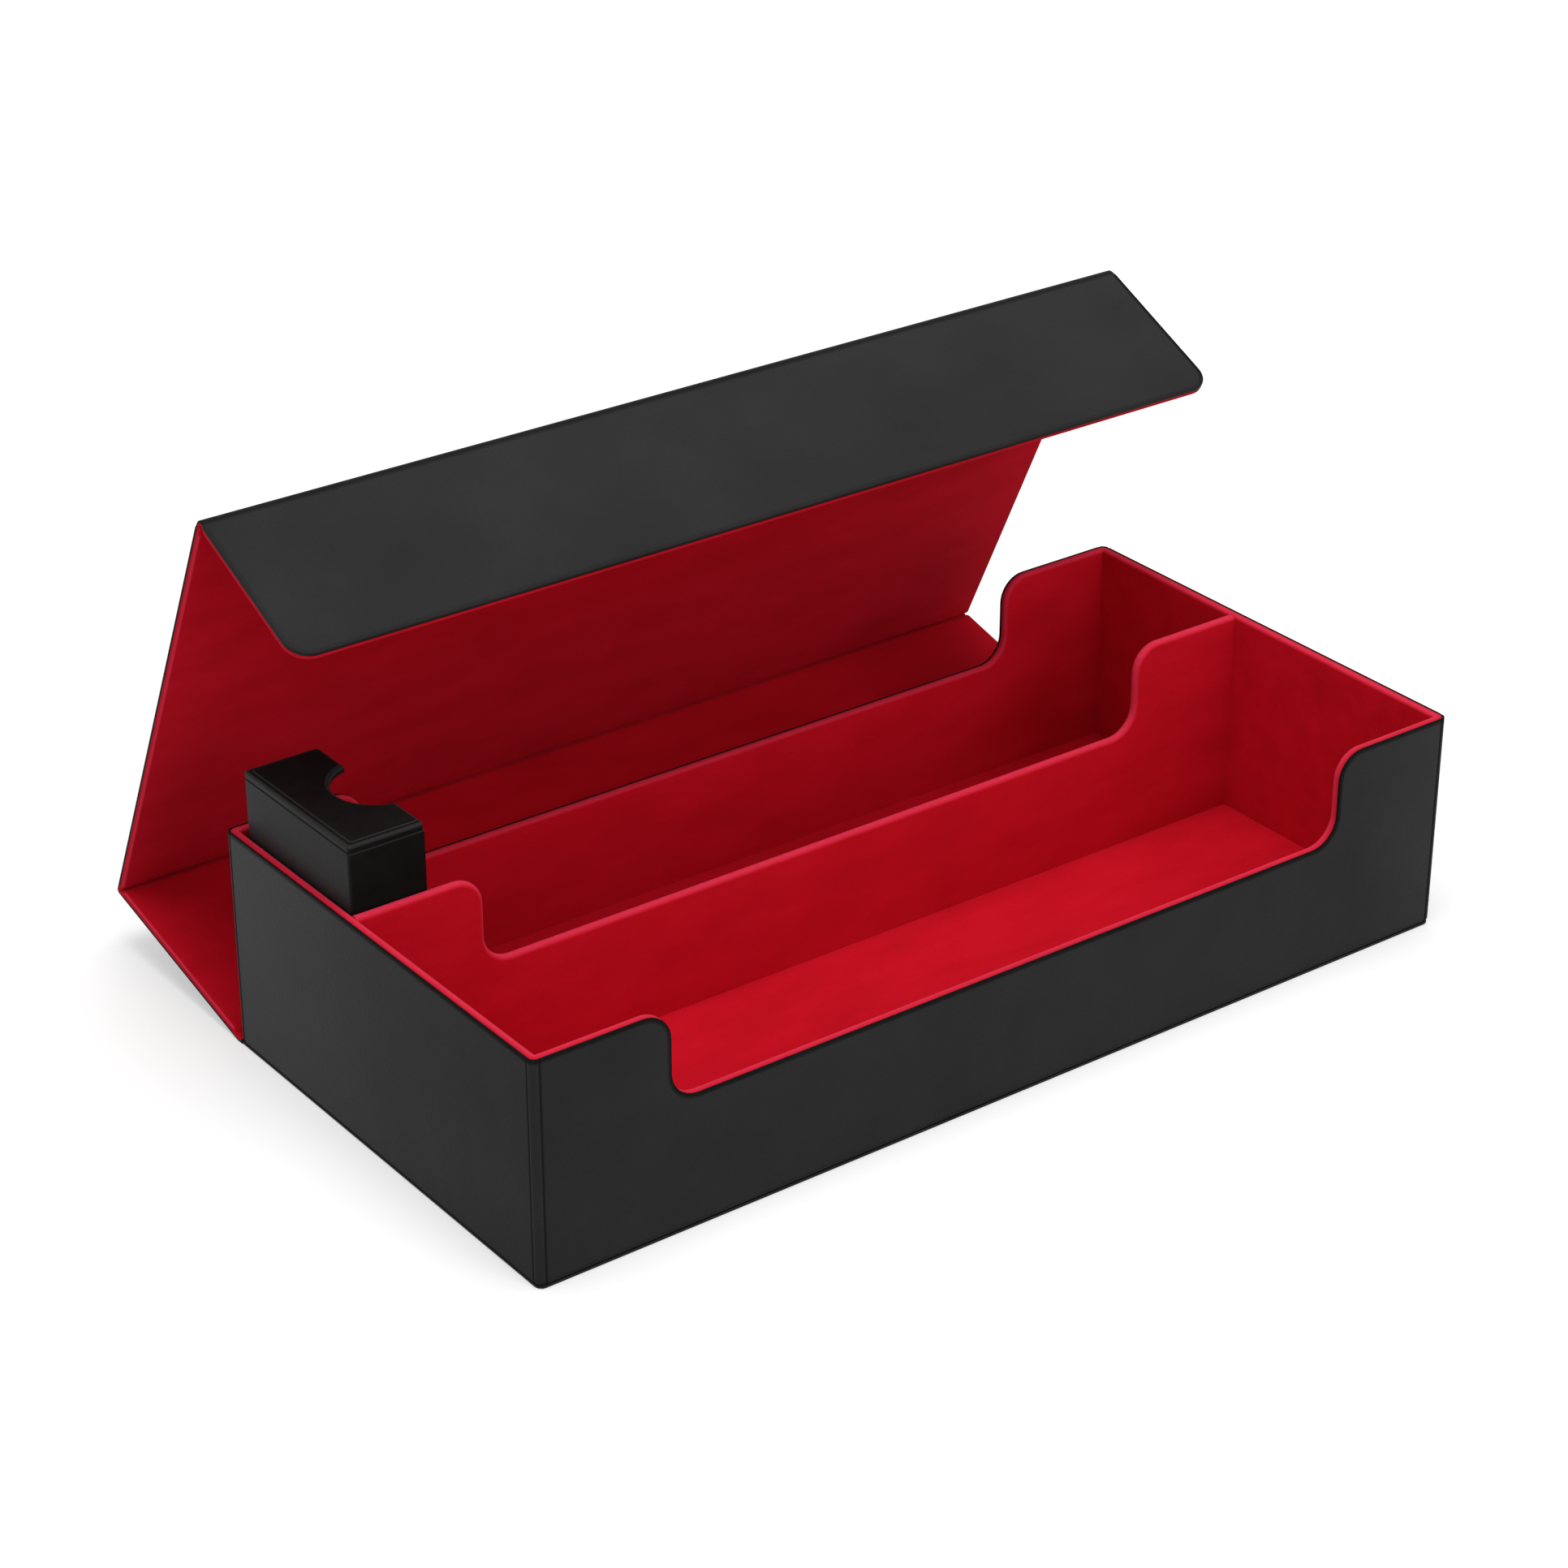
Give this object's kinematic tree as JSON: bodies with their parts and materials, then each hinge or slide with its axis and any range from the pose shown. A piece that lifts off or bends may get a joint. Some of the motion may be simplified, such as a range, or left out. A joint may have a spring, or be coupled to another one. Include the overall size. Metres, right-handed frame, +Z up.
{
  "type": "card case",
  "caption": "Long two-lane card case with a wrap-round folding lid, suede lining and a lift-up insert box.",
  "frame": {"origin": "middle of the tray's underside, on the surface it stands on", "axes": "+X along the length, to the right seen from the open front; +Y to the lid's hinge; +Z up"},
  "size_m": [0.408, 0.2843, 0.2058],
  "materials": {
    "black_leatherette": "fine grain, low sheen",
    "red_suede": "short brushed nap, matt",
    "grey_board": "raw grey board",
    "magnet_steel": "nickel plated discs"
  },
  "bodies": {
    "tray": {"cover_base": "black_leatherette", "outer_wrap": "black_leatherette", "base_board": "grey_board", "front_board": "grey_board", "back_board": "grey_board", "left_board": "grey_board", "right_board": "grey_board", "divider_board": "grey_board", "front_lining": "red_suede", "back_lining": "red_suede", "left_lining": "red_suede", "right_lining": "red_suede", "divider_lining": "red_suede", "front_floor_lining": "red_suede", "rear_floor_lining": "red_suede", "wall_magnets": "magnet_steel"},
    "spine": {"spine_skin": "black_leatherette", "spine_board": "grey_board", "spine_lining": "red_suede"},
    "top_crease": {"top_crease_roll": "black_leatherette"},
    "top": {"top_skin": "black_leatherette", "top_board": "grey_board", "top_lining": "red_suede"},
    "flap_crease": {"flap_crease_roll": "black_leatherette"},
    "flap": {"flap_skin": "black_leatherette", "flap_board": "grey_board", "flap_lining": "red_suede", "flap_magnets": "magnet_steel"},
    "insert": {"insert_wrap": "black_leatherette", "insert_end_board": "grey_board", "insert_front_board": "grey_board", "insert_rear_board": "grey_board", "insert_top_board": "grey_board", "insert_bottom_board": "grey_board", "insert_lining": "red_suede", "insert_top_patch": "black_leatherette", "insert_bottom_patch": "black_leatherette"}
  },
  "joints": [
    {"name": "lid_swing", "type": "hinge", "parent": "tray", "child": "spine", "pos_m": [0, 0.0996, 0.0017], "axis": [1, 0, 0], "range_deg": [-14.4, 75.4]},
    {"name": "top_crease", "type": "hinge", "parent": "spine", "child": "top_crease", "pos_m": [0, 0.18515, 0.02398], "axis": [1, 0, 0], "range_deg": [-10.9, 2.24]},
    {"name": "top_fold", "type": "hinge", "parent": "top_crease", "child": "top", "pos_m": [0, 0.18515, 0.02398], "axis": [1, 0, 0], "range_deg": [-100, 0]},
    {"name": "flap_crease", "type": "hinge", "parent": "top", "child": "flap_crease", "pos_m": [0, 0.10002, 0.20408], "axis": [1, 0, 0], "range_deg": [-28.2, 5.55]},
    {"name": "flap_fold", "type": "hinge", "parent": "flap_crease", "child": "flap", "pos_m": [0, 0.10002, 0.20408], "axis": [1, 0, 0], "range_deg": [-90, 28]},
    {"name": "insert_lift", "type": "slide", "parent": "tray", "child": "insert", "axis": [0, 0, 1], "range_m": [-0.0282, 0.00555]}
  ],
  "couplings": [
    {"joint": "top_crease", "follows": "lid_swing", "ratio": -0.14191},
    {"joint": "flap_crease", "follows": "lid_swing", "ratio": -0.37135},
    {"joint": "insert_lift", "follows": "lid_swing", "m_per_rad": -0.021277}
  ]
}
